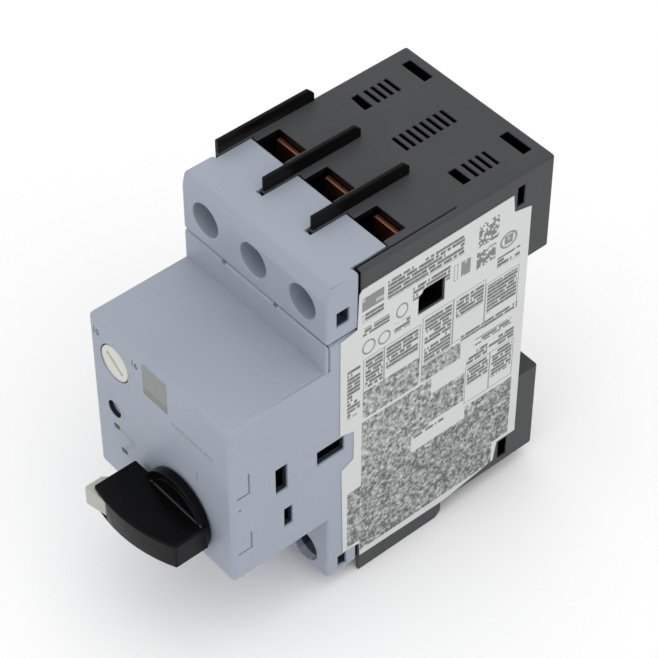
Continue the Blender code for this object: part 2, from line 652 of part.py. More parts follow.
def rail_clip():
    """The spring-loaded slide that holds the lower edge of the rail."""
    solid = box("rail_clip", (-CLIP_HALF, CLIP_HALF), (CLIP_FRONT, CLIP_BACK), (CLIP_BOTTOM, CLIP_TOP))
    soften(solid, 0.4, 1)
    cut(solid, box("spring_window", (-2.4, 2.4), (CLIP_FRONT - 1, CLIP_BACK + 1), (-37.0, -23.6)),
        box("driver_slot", (-2.0, 2.0), (CLIP_FRONT - 1, CLIP_BACK + 1), (-43.4, -41.9)),
        box("hook_relief", (-CLIP_HALF - 1, CLIP_HALF + 1), (83.6, CLIP_BACK + 1), (-17.0, CLIP_TOP + 1)))
    pivot(solid, (0, CLIP_FRONT, CLIP_BOTTOM))
    return finish(solid, IVORY)


def rail_clip_spring():
    """The spring that lifts the clip against the rail."""
    return finish(coil("rail_clip_spring", (0, 83.2, -29.5), 1.45, 0.5, 10.6, 5), SPRING_STEEL)


def test_spring():
    """The spring that returns the test button."""
    return finish(coil("test_spring", (TEST_X, 8.7, TEST_HEIGHT), 3.2, 0.5, 4.0, 3, "Y"), SPRING_STEEL)


def main_spring():
    """The spring that stores the force of the snap action."""
    return finish(coil("main_spring", (4.5, 41.4, 1.0), 1.8, 0.7, 16.0, 6), SPRING_STEEL)


def build_terminals():
    """Add both rows of terminals."""
    for row, height in (("line", UPPER_SCREW_HEIGHT), ("load", LOWER_SCREW_HEIGHT)):
        for label, pole in zip(POLE_NAMES, POLES):
            terminal_bar(f"{row}_terminal_bar_{label}", pole, height)
            clamp_washer(f"{row}_clamp_washer_{label}", pole, height)
            terminal_screw(f"{row}_terminal_screw_{label}", pole, height)


def build_poles():
    """Add what each pole holds between its two terminals."""
    for label, pole in zip(POLE_NAMES, POLES):
        moving_contact(f"moving_contact_{label}", pole)
        contact_spring(f"contact_spring_{label}", pole)
        arc_chute(f"arc_chute_{label}", pole)
        magnet_coil(f"magnet_coil_{label}", pole)
        magnet_core(f"magnet_core_{label}", pole)
        bimetal(f"bimetal_{label}", pole)


def main():
    """Build the whole breaker."""
    clear_scene()
    for make in (rear_base, terminal_cover, front_cover, rating_label, knob, lock_tab, knob_shaft,
                 setting_dial, test_button, test_spring, mechanism_frame, toggle_lever, main_spring,
                 trip_bar, contact_carrier, rail_clip, rail_clip_spring):
        make()
    build_terminals()
    build_poles()
    bpy.context.view_layer.update()


main()
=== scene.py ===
"""Looks of a three-pole motor protection breaker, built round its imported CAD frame.

Lengths given in millimetres are turned into metres with MM. Places are worked
out from the boxes of the CAD nodes, so that every piece sits where the frame
says. X runs to the right, Y from the front of the nose back to the rail, and
Z up from the load terminals to the line terminals.
"""

import logging
import math
from abc import ABC, abstractmethod
from collections.abc import Sequence
from dataclasses import dataclass, field
from enum import Enum
from typing import Optional, Union

import bmesh
import bpy
from mathutils import Matrix, Vector
from mathutils.geometry import intersect_point_line


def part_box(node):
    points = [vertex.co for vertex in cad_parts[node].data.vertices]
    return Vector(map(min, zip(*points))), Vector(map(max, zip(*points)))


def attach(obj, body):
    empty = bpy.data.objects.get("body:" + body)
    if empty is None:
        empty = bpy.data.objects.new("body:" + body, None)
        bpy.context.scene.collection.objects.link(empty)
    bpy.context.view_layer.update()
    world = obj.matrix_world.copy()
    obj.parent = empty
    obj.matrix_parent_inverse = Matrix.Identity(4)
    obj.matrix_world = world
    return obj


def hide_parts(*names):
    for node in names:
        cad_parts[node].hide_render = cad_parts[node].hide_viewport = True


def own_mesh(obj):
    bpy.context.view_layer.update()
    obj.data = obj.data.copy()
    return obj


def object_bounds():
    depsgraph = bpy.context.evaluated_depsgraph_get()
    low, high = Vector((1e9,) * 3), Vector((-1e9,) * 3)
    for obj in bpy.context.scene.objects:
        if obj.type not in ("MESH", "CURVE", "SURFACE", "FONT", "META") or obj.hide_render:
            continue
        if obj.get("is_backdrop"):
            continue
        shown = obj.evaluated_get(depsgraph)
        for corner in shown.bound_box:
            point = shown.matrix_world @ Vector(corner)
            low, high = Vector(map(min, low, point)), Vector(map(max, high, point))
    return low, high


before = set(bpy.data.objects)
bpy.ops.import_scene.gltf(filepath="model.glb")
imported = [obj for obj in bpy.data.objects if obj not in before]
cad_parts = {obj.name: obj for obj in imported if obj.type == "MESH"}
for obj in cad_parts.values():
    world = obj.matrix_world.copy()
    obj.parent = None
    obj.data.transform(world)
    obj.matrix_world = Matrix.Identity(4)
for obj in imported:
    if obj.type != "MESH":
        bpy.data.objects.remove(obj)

MM = 0.001
# How near corners are welded, on new shapes and on CAD shapes.
WELD = 0.001 * MM
CAD_WELD = 0.002 * MM
# Angles between faces: merged below, rounded above, and left crisp above, in degrees.
FLAT_ANGLE = 0.5
CORNER_ANGLE = 32.0
CRISP_ANGLE = 40.0
CRISP_CAD_ANGLE = 50.0
# How many edge radii a face has to be wide for its edge to be rounded.
ROOM = 2.5
FLAT_WEIGHT = 80
ROWS = ("line", "load")
POLES = ("1", "2", "3")
LOG = logging.getLogger("breaker")
Number = Union[float, "Value"]
Colour = tuple[float, float, float]
Profile = Sequence[tuple[float, float]]


# ------------------------------------------------------------- shader maths

class Value:
    """A number that varies over a surface, written as an expression."""

    def __init__(self, graph: "Graph", socket: bpy.types.NodeSocket) -> None:
        """Wrap an output socket of a graph."""
        self.graph = graph
        self.socket = socket

    def _math(self, operation: str, *terms: Number) -> "Value":
        """Add a Math node.

        Args:
            operation: The Math node's operation.
            terms: Its inputs, in order.

        Returns:
            The node's result.
        """
        inputs = dict(enumerate(terms))
        made = self.graph.node("ShaderNodeMath", {"operation": operation}, inputs)
        return Value(self.graph, made.outputs[0])

    def __add__(self, other: Number) -> "Value":
        """Return the sum."""
        return self._math("ADD", self, other)

    def __sub__(self, other: Number) -> "Value":
        """Return the difference."""
        return self._math("SUBTRACT", self, other)

    def __rsub__(self, other: Number) -> "Value":
        """Return the difference, with the value on the right."""
        return self._math("SUBTRACT", other, self)

    def __mul__(self, other: Number) -> "Value":
        """Return the product."""
        return self._math("MULTIPLY", self, other)

    def __truediv__(self, other: Number) -> "Value":
        """Return the quotient."""
        return self._math("DIVIDE", self, other)

    def __gt__(self, other: Number) -> "Value":
        """Return 1 where the value is the larger."""
        return self._math("GREATER_THAN", self, other)

    def __lt__(self, other: Number) -> "Value":
        """Return 1 where the value is the smaller."""
        return self._math("LESS_THAN", self, other)

    def __or__(self, other: Number) -> "Value":
        """Return the larger of two masks."""
        return self._math("MAXIMUM", self, other)

    def floor(self) -> "Value":
        """Return the whole part."""
        return self._math("FLOOR", self)

    def fraction(self) -> "Value":
        """Return what is left of the whole part."""
        return self._math("FRACT", self)

    def size(self) -> "Value":
        """Return the value without its sign."""
        return self._math("ABSOLUTE", self)

    def root(self) -> "Value":
        """Return the square root."""
        return self._math("SQRT", self)

    def between(self, low: float, high: float) -> "Value":
        """Return 1 where the value lies between two limits."""
        return self._math("COMPARE", self, (low + high) / 2, (high - low) / 2)


class Graph:
    """The nodes of one material."""

    def __init__(self, name: str) -> None:
        """Start an empty material."""
        self.material = bpy.data.materials.new(name)
        self.material.use_nodes = True
        self.tree = self.material.node_tree
        self.tree.nodes.clear()
        self._place: Optional[bpy.types.NodeSocket] = None

    def node(self, kind: str, settings: Optional[dict] = None,
             inputs: Optional[dict] = None) -> bpy.types.Node:
        """Add a node.

        Args:
            kind: The node's type.
            settings: Attributes, set before the inputs.
            inputs: Numbers, colours, links or expressions, by name or index.

        Returns:
            The new node.
        """
        made = self.tree.nodes.new(kind)
        for key, setting in (settings or {}).items():
            setattr(made, key, setting)
        for key, given in (inputs or {}).items():
            socket = made.inputs[key]
            if isinstance(given, Value):
                self.tree.links.new(given.socket, socket)
            elif isinstance(given, bpy.types.NodeSocket):
                self.tree.links.new(given, socket)
            else:
                socket.default_value = given
        return made

    def place(self) -> bpy.types.NodeSocket:
        """Return the place on the object, in metres."""
        if self._place is None:
            self._place = self.node("ShaderNodeTexCoord").outputs["Object"]
        return self._place

    def axes(self) -> list[Value]:
        """Return the place's three parts, in millimetres."""
        parts = self.node("ShaderNodeSeparateXYZ", None, {0: self.place()})
        return [Value(self, part) * 1000.0 for part in parts.outputs]

    def noise(self, size: float, detail: float = 2.0,
              stretch: tuple[float, float, float] = (1.0, 1.0, 1.0)) -> Value:
        """Add a noise.

        Args:
            size: The grain's size in millimetres.
            detail: How many finer layers it has.
            stretch: How many times longer the grain is along each axis.

        Returns:
            A value round 0.5.
        """
        scale = tuple(1 / part for part in stretch)
        turned = self.node("ShaderNodeMapping", None, {"Vector": self.place(), "Scale": scale})
        made = self.node("ShaderNodeTexNoise", None,
                         {"Vector": turned.outputs[0], "Scale": 1000 / size, "Detail": detail})
        return Value(self, made.outputs[0])

    def dice(self, u: Value, v: Value) -> Value:
        """Return a random number for each cell of a grid of whole numbers."""
        cell = self.node("ShaderNodeCombineXYZ", None, {0: u.floor(), 1: v.floor()})
        made = self.node("ShaderNodeTexWhiteNoise", {"noise_dimensions": "2D"},
                         {"Vector": cell.outputs[0]})
        return Value(self, made.outputs["Value"])

    def mix(self, share: Value, first: object, second: object) -> bpy.types.NodeSocket:
        """Blend two colours.

        Args:
            share: How much of the second colour shows.
            first: A colour or a link.
            second: A colour or a link.

        Returns:
            The blended colour.
        """
        ends = [(*end, 1.0) if isinstance(end, tuple) else end for end in (first, second)]
        made = self.node("ShaderNodeMix", {"data_type": "RGBA"}, {0: share, 6: ends[0], 7: ends[1]})
        return made.outputs[2]

    def bump(self, height: Value, depth: float) -> bpy.types.NodeSocket:
        """Return a normal that follows a height of so many millimetres."""
        made = self.node("ShaderNodeBump", None,
                         {"Height": height, "Distance": depth * MM, "Strength": 1.0})
        return made.outputs[0]

    def surface(self, **inputs: object) -> None:
        """Finish the material with a Principled shader, its inputs named with underscores."""
        named = {key.replace("_", " "): given for key, given in inputs.items()}
        shader = self.node("ShaderNodeBsdfPrincipled", None, named)
        self.node("ShaderNodeOutputMaterial", None, {"Surface": shader.outputs[0]})


# ----------------------------------------------------------------- finishes

class Slot(Enum):
    """The material slots that the finishes name."""

    GREY = "grey_plastic"
    BLACK = "black_plastic"
    KNOB = "knob_black"
    IVORY = "ivory_plastic"
    RED = "red_plastic"
    LABEL = "label"
    COPPER = "copper"
    STEEL = "steel"
    PLATED = "plated_steel"
    SPRING = "spring_steel"
    SILVER = "silver"


class Finish(ABC):
    """A material that is made once and shared."""

    name: str
    slot: Slot

    @abstractmethod
    def shade(self, graph: Graph) -> None:
        """Fill the material's nodes."""

    def material(self) -> bpy.types.Material:
        """Return the material, made on its first use."""
        found = bpy.data.materials.get(self.name)
        if found is None:
            graph = Graph(self.name)
            self.shade(graph)
            found = graph.material
        return found


@dataclass(frozen=True)
class Moulding(Finish):
    """A moulded plastic with the fine spark-eroded grain of its tool, sized in millimetres."""

    name: str
    slot: Slot
    colour: Colour
    roughness: float = 0.5
    grain_size: float = 0.28
    grain_depth: float = 0.012
    drift: float = 0.05
    shine: float = 0.4
    cloud_size: float = 14.0

    def tint(self, share: float) -> Colour:
        """Return the colour, a share lighter or darker."""
        return tuple(part * (1 + share) for part in self.colour)

    def body(self, graph: Graph) -> tuple[bpy.types.NodeSocket, Value, Value]:
        """Return the plastic's colour, its roughness and its grain."""
        cloud = graph.noise(self.cloud_size, 3.0)
        grain = graph.noise(self.grain_size, 3.0)
        colour = graph.mix(cloud, self.tint(-self.drift), self.tint(self.drift))
        roughness = (cloud - 0.5) * 0.12 + (grain - 0.5) * 0.16 + self.roughness
        return colour, roughness, grain

    def shade(self, graph: Graph) -> None:
        """Fill the nodes: cloudy colour, uneven gloss and a fine grain."""
        colour, roughness, grain = self.body(graph)
        graph.surface(Base_Color=colour, Roughness=roughness,
                      Specular_IOR_Level=self.shine,
                      Normal=graph.bump(grain, self.grain_depth))


@dataclass(frozen=True)
class BaseShadeMoulding(Moulding):
    """The base's dark grey plastic, with painted shade near black on its upper barriers and in its
    chambers.

    The skin is what stays grey round the chambers, the step what stays grey of the
    barriers' feet, and the back wall and the rail's top bound the chambers behind.
    """

    # Painted shade: this near-black colour stands in for the shadow on the barriers' sides and in
    # the chambers.
    barrier_shade: Colour = (0.0015, 0.0015, 0.002)
    skin: float = 0.3
    step: float = 0.25
    back_wall: float = 2.5
    rail_top: float = 18.8

    def shade(self, graph: Graph) -> None:
        """Fill the nodes, painting shade on the barriers that stand on the base's top and inside
        the chambers.
        """
        colour, roughness, grain = self.body(graph)
        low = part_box("front_cover")[0].z / MM
        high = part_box("terminal_cover")[1].z / MM
        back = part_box("rear_base")[1] / MM
        across, along, up = graph.axes()
        main = up.between(low + self.skin, high - self.skin) * (along < -self.back_wall)
        rear = up.between(self.rail_top, high - self.skin) * (along < back.y - self.skin)
        chamber = (main | rear) * (across.size() < back.x - self.skin)
        # Painted shade mask: the barriers and the chambers take the near-black shade colour.
        shade_mask = (up > high + self.step) | chamber
        graph.surface(Base_Color=graph.mix(shade_mask, colour, self.barrier_shade),
                      Roughness=roughness + shade_mask * 0.05, Specular_IOR_Level=self.shine,
                      Normal=graph.bump(grain, self.grain_depth))


@dataclass(frozen=True)
class CoverMoulding(Moulding):
    """The covers' plastic, with painted shade in the hollow nose, the windows and the lower wells.

    The nose span is its underside and top. The window reach is how far in from the side
    the windows go, and the block skin is the terminal blocks' front wall.
    """

    # Painted shade: this dark blue stands in for the shadow inside the nose, the windows and the
    # wells.
    hollow_shade: Colour = (0.035, 0.04, 0.06)
    skin: float = 0.55
    nose_span: tuple[float, float] = (-24.8, 20.2)
    window_reach: float = 2.3
    block_skin: float = 1.8

    def shade(self, graph: Graph) -> None:
        """Fill the nodes, painting shade on what lies under the covers' outer skin."""
        colour, roughness, grain = self.body(graph)
        low, high = (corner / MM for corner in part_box("front_cover"))
        block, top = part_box("terminal_cover")[0].y / MM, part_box("terminal_cover")[1].z / MM
        across, along, up = graph.axes()
        side = across.size()
        under = side < high.x - self.skin
        nose = ((along > low.y + self.skin)
                * up.between(self.nose_span[0] + self.skin, self.nose_span[1] - self.skin))
        ends = (up - (low.z + top) / 2).size() < (top - low.z) / 2 - self.skin
        deep = (side > high.x - self.window_reach) | (up < self.nose_span[0])
        blocks = (along > block + self.block_skin) * ends * deep
        # Painted shade mask: what lies under the covers' outer skin takes the dark shade colour.
        shade_mask = under * (nose | blocks)
        graph.surface(Base_Color=graph.mix(shade_mask, colour, self.hollow_shade), Roughness=roughness,
                      Specular_IOR_Level=self.shine,
                      Normal=graph.bump(grain, self.grain_depth))


@dataclass(frozen=True)
class Metal(Finish):
    """A drawn, pressed or plated metal."""

    name: str
    slot: Slot
    colour: Colour
    roughness: float
    stretch: tuple[float, float, float] = (1.0, 1.0, 12.0)
    tarnish: float = 0.3

    def shade(self, graph: Graph) -> None:
        """Fill the nodes: drawn streaks, a cloudy tarnish and uneven gloss."""
        streak = graph.noise(0.12, 3.0, self.stretch)
        cloud = graph.noise(2.5, 4.0)
        dull = tuple(part * (1 - self.tarnish) for part in self.colour)
        colour = graph.mix(cloud, self.colour, dull)
        roughness = (streak - 0.5) * 0.25 + (cloud - 0.5) * 0.2 + self.roughness
        graph.surface(Base_Color=colour, Roughness=roughness, Metallic=1.0,
                      Normal=graph.bump(streak, 0.004))


@dataclass(frozen=True)
class Ink(Finish):
    """A thin pad-printed ink."""

    name: str
    slot: Slot
    colour: Colour

    def shade(self, graph: Graph) -> None:
        """Fill the nodes: ink that lies a little unevenly."""
        speck = graph.noise(0.2, 2.0)
        thin = tuple(part * 1.35 for part in self.colour)
        colour = graph.mix(speck, self.colour, thin)
        graph.surface(Base_Color=colour, Roughness=speck * 0.2 + 0.45,
                      Normal=graph.bump(speck, 0.004))


@dataclass(frozen=True)
class PaleFloor(Finish):
    """The plain studio floor."""

    name: str = "pale_floor"
    colour: Colour = (0.95, 0.95, 0.95)
    light_colour: Colour = (0.97, 0.97, 0.97)

    def shade(self, graph: Graph) -> None:
        """Fill the nodes: an even matt white."""
        cloud = graph.noise(400.0, 1.0)
        graph.surface(Base_Color=graph.mix(cloud, self.colour, self.light_colour),
                      Roughness=0.9)


class Print(Enum):
    """The kinds of print on the rating label."""

    TEXT = "rows of small strokes"
    BOLD = "rows of heavy strokes"
    DENSE = "a tight block of small strokes"
    FRAME = "an outlined box"
    BLOCK = "a solid block"
    DOTS = "a square dot pattern"
    RING = "a round outline"


@dataclass(frozen=True)
class Area:
    """One printed area, in millimetres from the label's front lower corner."""

    left: float
    right: float
    low: float
    high: float


LABEL_PRINT: dict[Print, tuple[Area, ...]] = {
    Print.BLOCK: (
        Area(5.5, 11.2, 75.3, 79.0), Area(32.0, 34.6, 68.0, 72.2), Area(44.0, 46.4, 69.3, 71.7),
    ),
    Print.TEXT: (
        Area(12.2, 32.6, 74.3, 79.6), Area(5.7, 11.2, 72.2, 74.6), Area(19.0, 29.0, 69.6, 73.6),
        Area(42.3, 48.7, 63.8, 66.8), Area(22.6, 29.9, 49.0, 62.0), Area(31.2, 38.8, 56.4, 62.0),
        Area(40.0, 48.4, 52.2, 60.4), Area(33.0, 49.0, 48.6, 50.2), Area(35.0, 48.6, 39.8, 43.0),
        Area(35.4, 41.4, 33.4, 38.8), Area(42.5, 48.3, 31.0, 38.8), Area(1.8, 5.2, 46.8, 61.0),
        Area(6.6, 11.2, 52.6, 61.0), Area(12.2, 20.8, 54.4, 60.8), Area(20.4, 29.0, 27.2, 28.4),
    ),
    Print.BOLD: (
        Area(5.8, 12.8, 68.2, 70.4), Area(14.2, 18.4, 63.6, 66.2), Area(37.2, 47.6, 44.4, 46.4),
    ),
    Print.RING: (
        Area(14.5, 17.8, 67.0, 71.0), Area(5.6, 9.2, 62.5, 66.6), Area(9.8, 13.2, 62.6, 66.2),
        Area(42.7, 47.6, 68.2, 72.6),
    ),
    Print.FRAME: (
        Area(30.0, 31.2, 67.9, 72.4), Area(21.9, 30.4, 44.4, 62.8), Area(30.4, 39.4, 49.6, 62.8),
        Area(39.4, 48.9, 48.4, 61.2), Area(34.8, 41.9, 28.0, 39.4), Area(41.9, 48.8, 28.0, 39.4),
        Area(6.0, 11.6, 47.0, 61.6), Area(11.6, 21.4, 47.0, 61.6),
    ),
    Print.DOTS: (
        Area(36.6, 42.2, 73.2, 79.4), Area(36.3, 41.6, 67.3, 71.9),
    ),
    Print.DENSE: (
        Area(6.0, 21.4, 43.8, 52.0), Area(21.9, 33.0, 43.6, 48.6), Area(5.8, 25.0, 28.4, 43.0),
        Area(25.0, 34.6, 29.4, 38.2), Area(5.8, 19.8, 23.2, 28.6), Area(35.2, 49.0, 9.0, 27.0),
        Area(2.0, 35.4, 9.0, 23.4), Area(2.0, 5.8, 5.8, 9.2), Area(5.6, 44.2, 2.2, 9.2),
    ),
}


@dataclass(frozen=True)
class PrintedFilm(Finish):
    """The white rating label, with generic print that spells nothing."""

    corner: tuple[float, float]
    name: str = "printed_film"
    slot: Slot = Slot.LABEL
    paper: Colour = (0.605, 0.62, 0.61)
    ink: Colour = (0.095, 0.10, 0.095)
    row: float = 1.05
    letter: float = 0.45
    bold_row: float = 1.0
    bold_letter: float = 0.62
    line: float = 0.22
    dot: float = 0.5
    grit: tuple[float, float] = (0.5, 0.56)
    block: tuple[float, float] = (0.7, 0.95)
    heavy_below: float = 24.0

    def strokes(self, graph: Graph, u: Value, v: Value, row: float, letter: float,
                full: float) -> Value:
        """Return rows of marks that look like small lettering from a distance.

        Args:
            graph: The material's nodes.
            u: The place along the rows, in millimetres.
            v: The place across the rows, in millimetres.
            row: The distance between rows.
            letter: The width of a mark.
            full: The share of marks that are inked.

        Returns:
            The amount of ink.
        """
        letters_in_word, other_grid = 7, 31.0
        across = (v / row).fraction().between(0.1, 0.88)
        marks = graph.dice(u / letter, v / row) < full
        words = graph.dice(u / (letter * letters_in_word), v / row + other_grid) < 0.95
        return across * marks * words

    def outline(self, kind: Print, area: Area, u: Value, v: Value) -> Value:
        """Return the share of ink that one printed area takes.

        Args:
            kind: What is printed: a box's line, a ring, or the whole area.
            area: Where it is printed.
            u: The place along the label, in millimetres.
            v: The place up the label.

        Returns:
            A mask, 0 outside the area.
        """
        inside = u.between(area.left, area.right) * v.between(area.low, area.high)
        if kind is Print.FRAME:
            hollow_shade = (u.between(area.left + self.line, area.right - self.line)
                      * v.between(area.low + self.line, area.high - self.line))
            return inside * (1 - hollow_shade)
        if kind is Print.RING:
            across = (u - (area.left + area.right) / 2) / (area.right - area.left)
            along = (v - (area.low + area.high) / 2) / (area.high - area.low)
            return (across * across + along * along).root().between(0.38, 0.5)
        return inside

    def shade(self, graph: Graph) -> None:
        """Fill the nodes: satin film with all the printed areas."""
        _, along, up = graph.axes()
        u, v = along - self.corner[0] / MM, up - self.corner[1] / MM
        fine = graph.noise(0.5, 3.0)
        small = self.strokes(graph, u, v, self.row, self.letter, 0.9) * (fine * 0.9 + 0.45)
        bold = self.strokes(graph, u, v, self.bold_row, self.bold_letter, 0.88) * 0.9
        dots = (graph.dice(u / self.dot, v / self.dot) < 0.6) * 0.85
        mottle = graph.noise(1.1, 3.0)
        grit = graph.dice(u / self.grit[0], v / self.grit[1])
        dense = (mottle - 0.5) * 2.2 + grit * 0.5 + (v < self.heavy_below) * 0.1 + 0.36
        cells = graph.dice(u / self.block[0], v / self.block[1])
        inks: dict[Print, Number] = {
            Print.TEXT: small,
            Print.BOLD: bold,
            Print.DENSE: dense,
            Print.BLOCK: (cells < 0.84) * 0.42 + 0.34,
            Print.DOTS: dots,
            Print.FRAME: 0.62,
            Print.RING: 0.72,
        }
        ink: Number = 0.0
        for kind, areas in LABEL_PRINT.items():
            for area in areas:
                ink = self.outline(kind, area, u, v) * inks[kind] | ink
        cloud = graph.noise(20.0, 2.0)
        paper = graph.mix(cloud, self.paper, tuple(part * 0.96 for part in self.paper))
        graph.surface(Base_Color=graph.mix(ink, paper, self.ink),
                      Roughness=ink * 0.15 + (cloud - 0.5) * 0.1 + 0.42,
                      Normal=graph.bump(graph.noise(0.8, 2.0), 0.006))


# The covers' plastic, with painted shade in its hollows.
GREY = CoverMoulding("blue_grey_moulding", Slot.GREY, (0.315, 0.350, 0.415), 0.46)
BLACK = Moulding("black_moulding", Slot.BLACK, (0.02, 0.02, 0.022), 0.45, 0.35, 0.02, 0.12, 0.2)
# The base's plastic, with painted shade on its barriers and in its chambers.
BASE_BLACK = BaseShadeMoulding("base_moulding", Slot.BLACK, (0.058, 0.0595, 0.063), 0.42, 0.35,
                             0.02, 0.12, 0.14)
KNOB_BLACK = Moulding("knob_moulding", Slot.KNOB, (0.002, 0.002, 0.003), 0.30, 0.3, 0.008,
                      0.1, 0.11)
IVORY = Moulding("ivory_moulding", Slot.IVORY, (0.42, 0.425, 0.385), 0.45)
DIAL_IVORY = Moulding("dial_moulding", Slot.IVORY, (0.63, 0.635, 0.565), 0.45)
BUTTON = Moulding("button_moulding", Slot.GREY, (0.30, 0.36, 0.45), 0.45)
RED = Moulding("red_moulding", Slot.RED, (0.36, 0.05, 0.04), 0.5)
COPPER = Metal("bare_copper", Slot.COPPER, (0.66, 0.28, 0.15), 0.34)
STEEL = Metal("pressed_steel", Slot.STEEL, (0.52, 0.52, 0.54), 0.36)
PLATED = Metal("zinc_plate", Slot.PLATED, (0.66, 0.66, 0.63), 0.30)
SPRING = Metal("drawn_wire", Slot.SPRING, (0.45, 0.45, 0.47), 0.28, (12.0, 1.0, 1.0))
SILVER = Metal("silver_facing", Slot.SILVER, (0.80, 0.79, 0.76), 0.26)
# Painted highlight: a pale strip that stands in for the light on the handle's top edge.
EDGE_HIGHLIGHT = Moulding("painted_edge_highlight", Slot.KNOB, (0.075, 0.07, 0.06), 0.40)
DARK_INK = Ink("dark_ink", Slot.BLACK, (0.045, 0.05, 0.055))
FAINT_INK = Ink("faint_ink", Slot.BLACK, (0.225, 0.24, 0.26))
BADGE_INK = Ink("badge_ink", Slot.LABEL, (0.20, 0.21, 0.195))
BAND_INK = Ink("band_ink", Slot.LABEL, (0.165, 0.175, 0.165))
# Painted shade: flat strokes that stand in for the shading in two shallow grooves on the nose.
GROOVE_SHADE = Ink("groove_shade", Slot.GREY, (0.235, 0.265, 0.335))


# ------------------------------------------------------------- mesh helpers

def linked(name: str, data: bpy.types.ID) -> bpy.types.Object:
    """Put a new object with this data in the scene."""
    made = bpy.data.objects.new(name, data)
    bpy.context.scene.collection.objects.link(made)
    return made


def add_piece(name: str, mesh: bmesh.types.BMesh, finish: Finish, body: str,
              replaces: tuple[str, ...] = (), sharp: float = CRISP_ANGLE) -> bpy.types.Object:
    """Turn a bmesh into a finished piece that rides on a body.

    Args:
        name: The piece's name.
        mesh: Its shape in the frame's metres, freed here.
        finish: Its material.
        body: The CAD body that it moves with.
        replaces: The CAD nodes that it stands for.
        sharp: The angle in degrees above which an edge stays crisp.

    Returns:
        The new object.
    """
    data = bpy.data.meshes.new(name)
    mesh.to_mesh(data)
    mesh.free()
    data.shade_smooth()
    data.set_sharp_from_angle(angle=math.radians(sharp))
    data.materials.append(finish.material())
    piece = linked(name, data)
    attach(piece, body)
    if replaces:
        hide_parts(*replaces)
    LOG.info("%s: %d faces on %s", name, len(data.polygons), body)
    return piece


def dress_node(node: str, finish: Finish) -> None:
    """Give a CAD node that keeps its shape its finish."""
    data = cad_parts[node].data
    data.materials.clear()
    data.materials.append(finish.material())
    LOG.info("%s: finished as %s", node, finish.name)


def weigh_normals(piece: bpy.types.Object) -> None:
    """Keep large faces flat beside their rounded edges."""
    step = piece.modifiers.new("weigh", "WEIGHTED_NORMAL")
    step.keep_sharp = True
    step.weight = FLAT_WEIGHT


def middle(edge: bmesh.types.BMEdge) -> Vector:
    """Return the middle of an edge."""
    return (edge.verts[0].co + edge.verts[1].co) / 2


def distance(point: Vector, edge: bmesh.types.BMEdge) -> float:
    """Return how far a point is from an edge."""
    start, end = (corner.co for corner in edge.verts)
    _, share = intersect_point_line(point, start, end)
    return (point - start.lerp(end, min(max(share, 0.0), 1.0))).length


def roomy(edge: bmesh.types.BMEdge, radius: float) -> bool:
    """Tell whether the faces beside an edge are wide enough to round it."""
    if edge.calc_length() < 2 * radius:
        return False
    for face in edge.link_faces:
        for other in face.edges:
            if other is edge or set(other.verts) & set(edge.verts):
                continue
            gap = min(distance(middle(edge), other), distance(middle(other), edge))
            if gap < ROOM * radius:
                return False
    return True


def refine(node: str, name: str, finish: Finish, body: str, radius: float,
           segments: int = 2) -> None:
    """Copy a CAD node, round its edges finely and let the copy stand for it.

    Args:
        node: The CAD node.
        name: The new piece's name.
        finish: Its material.
        body: The body that it rides on.
        radius: The edge radius in millimetres.
        segments: How many faces make up a rounded edge.
    """
    mesh = bmesh.new()
    mesh.from_mesh(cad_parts[node].data)
    bmesh.ops.remove_doubles(mesh, verts=mesh.verts, dist=CAD_WELD)
    bmesh.ops.dissolve_limit(mesh, angle_limit=math.radians(FLAT_ANGLE), verts=mesh.verts,
                             edges=mesh.edges)
    edges = [edge for edge in mesh.edges
             if edge.is_manifold and edge.calc_face_angle(0.0) > math.radians(CORNER_ANGLE)
             and roomy(edge, radius * MM)]
    bmesh.ops.bevel(mesh, geom=edges, offset=radius * MM, offset_type="OFFSET",
                    segments=segments, profile=0.5, affect="EDGES", clamp_overlap=False,
                    loop_slide=True, material=-1)
    weigh_normals(add_piece(name, mesh, finish, body, (node,), CRISP_CAD_ANGLE))


def facing_front(mesh: bmesh.types.BMesh, centre: Vector) -> None:
    """Turn a shape made looking up Z to look out of the front, and put it in place."""
    turn = Matrix.Rotation(math.pi / 2, 4, "X")
    bmesh.ops.transform(mesh, matrix=Matrix.Translation(centre) @ turn, verts=mesh.verts)


